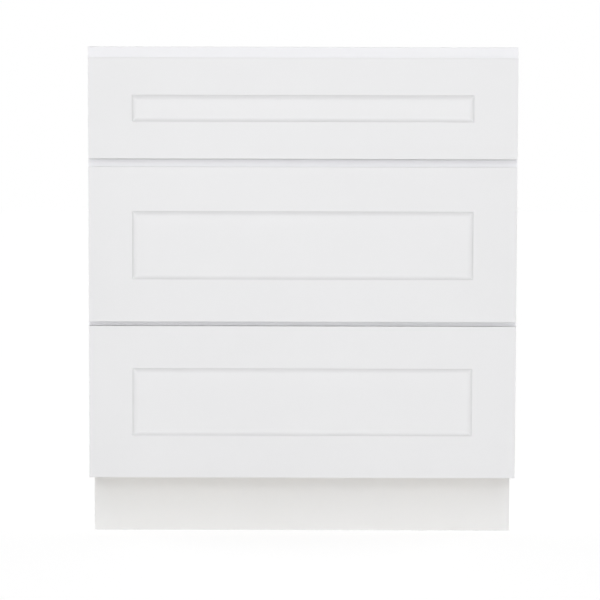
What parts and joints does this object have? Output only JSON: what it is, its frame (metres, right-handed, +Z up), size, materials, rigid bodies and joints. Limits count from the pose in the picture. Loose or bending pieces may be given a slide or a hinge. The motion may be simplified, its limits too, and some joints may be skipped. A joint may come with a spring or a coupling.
{
  "type": "base cabinet with drawers",
  "caption": "Face-frame kitchen base cabinet with sliding drawers on undermount runners, framed flat-panel fronts without handles, and a recessed toe kick.",
  "frame": {"origin": "on the floor, under the middle of the cabinet's overall width and depth, drawers shut", "axes": "+X across the cabinet to its right as seen from the front, +Y from the drawer fronts to the wall, +Z up"},
  "size_m": [0.762, 0.63, 0.8763],
  "materials": {
    "frame_lacquer": "sprayed white lacquer, satin",
    "front_lacquer": "sprayed white lacquer, satin",
    "front_panel_board": "sprayed white lacquer on fibreboard, satin",
    "kick_lacquer": "sprayed white lacquer, satin",
    "side_board": "birch plywood, white outside, clear coated inside",
    "birch_ply": "clear-coated birch plywood",
    "drawer_birch": "clear-coated solid birch",
    "drawer_bottom_ply": "clear-coated birch plywood",
    "runner_steel": "bright zinc plated",
    "screw_steel": "zinc plated",
    "brace_plastic": "moulded, fine texture",
    "bracket_plastic": "moulded, fine texture",
    "clip_plastic": "moulded, fine texture",
    "bumper": "clear soft polyurethane"
  },
  "bodies": {
    "carcass": {"back_panel": "birch_ply", "bottom_panel": "birch_ply", "carcass_screws": "screw_steel", "corner_braces": "brace_plastic", "frame_bottom_rail": "frame_lacquer", "frame_bumpers": "bumper", "frame_lower_rail": "frame_lacquer", "frame_stile_left": "frame_lacquer", "frame_stile_right": "frame_lacquer", "frame_top_rail": "frame_lacquer", "frame_upper_rail": "frame_lacquer", "runner_cabinet_members": "runner_steel", "runner_rear_brackets": "bracket_plastic", "side_panel_left": "side_board", "side_panel_right": "side_board", "toe_kick_board": "birch_ply", "toe_kick_cover": "kick_lacquer"},
    "top_drawer": {"top_drawer_box_back": "drawer_birch", "top_drawer_box_bottom": "drawer_bottom_ply", "top_drawer_box_front": "drawer_birch", "top_drawer_box_side_left": "drawer_birch", "top_drawer_box_side_right": "drawer_birch", "top_drawer_clips": "clip_plastic", "top_drawer_front_bottom_rail": "front_lacquer", "top_drawer_front_panel": "front_panel_board", "top_drawer_front_screws": "screw_steel", "top_drawer_front_stile_left": "front_lacquer", "top_drawer_front_stile_right": "front_lacquer", "top_drawer_front_top_rail": "front_lacquer", "top_drawer_runner_drawer_members": "runner_steel"},
    "top_middle_members": {"top_drawer_runner_middle_members": "runner_steel"},
    "middle_drawer": {"middle_drawer_box_back": "drawer_birch", "middle_drawer_box_bottom": "drawer_bottom_ply", "middle_drawer_box_front": "drawer_birch", "middle_drawer_box_side_left": "drawer_birch", "middle_drawer_box_side_right": "drawer_birch", "middle_drawer_clips": "clip_plastic", "middle_drawer_front_bottom_rail": "front_lacquer", "middle_drawer_front_panel": "front_panel_board", "middle_drawer_front_screws": "screw_steel", "middle_drawer_front_stile_left": "front_lacquer", "middle_drawer_front_stile_right": "front_lacquer", "middle_drawer_front_top_rail": "front_lacquer", "middle_drawer_runner_drawer_members": "runner_steel"},
    "middle_middle_members": {"middle_drawer_runner_middle_members": "runner_steel"},
    "bottom_drawer": {"bottom_drawer_box_back": "drawer_birch", "bottom_drawer_box_bottom": "drawer_bottom_ply", "bottom_drawer_box_front": "drawer_birch", "bottom_drawer_box_side_left": "drawer_birch", "bottom_drawer_box_side_right": "drawer_birch", "bottom_drawer_clips": "clip_plastic", "bottom_drawer_front_bottom_rail": "front_lacquer", "bottom_drawer_front_panel": "front_panel_board", "bottom_drawer_front_screws": "screw_steel", "bottom_drawer_front_stile_left": "front_lacquer", "bottom_drawer_front_stile_right": "front_lacquer", "bottom_drawer_front_top_rail": "front_lacquer", "bottom_drawer_runner_drawer_members": "runner_steel"},
    "bottom_middle_members": {"bottom_drawer_runner_middle_members": "runner_steel"}
  },
  "joints": [
    {"name": "top_drawer_slide", "type": "slide", "parent": "carcass", "child": "top_drawer", "axis": [0, -1, 0], "range_m": [0, 0.52]},
    {"name": "top_middle_slide", "type": "slide", "parent": "carcass", "child": "top_middle_members", "axis": [0, -1, 0], "range_m": [0, 0.26]},
    {"name": "middle_drawer_slide", "type": "slide", "parent": "carcass", "child": "middle_drawer", "axis": [0, -1, 0], "range_m": [0, 0.52]},
    {"name": "middle_middle_slide", "type": "slide", "parent": "carcass", "child": "middle_middle_members", "axis": [0, -1, 0], "range_m": [0, 0.26]},
    {"name": "bottom_drawer_slide", "type": "slide", "parent": "carcass", "child": "bottom_drawer", "axis": [0, -1, 0], "range_m": [0, 0.52]},
    {"name": "bottom_middle_slide", "type": "slide", "parent": "carcass", "child": "bottom_middle_members", "axis": [0, -1, 0], "range_m": [0, 0.26]}
  ],
  "couplings": [
    {"joint": "top_middle_slide", "follows": "top_drawer_slide", "ratio": 0.5},
    {"joint": "middle_middle_slide", "follows": "middle_drawer_slide", "ratio": 0.5},
    {"joint": "bottom_middle_slide", "follows": "bottom_drawer_slide", "ratio": 0.5}
  ]
}
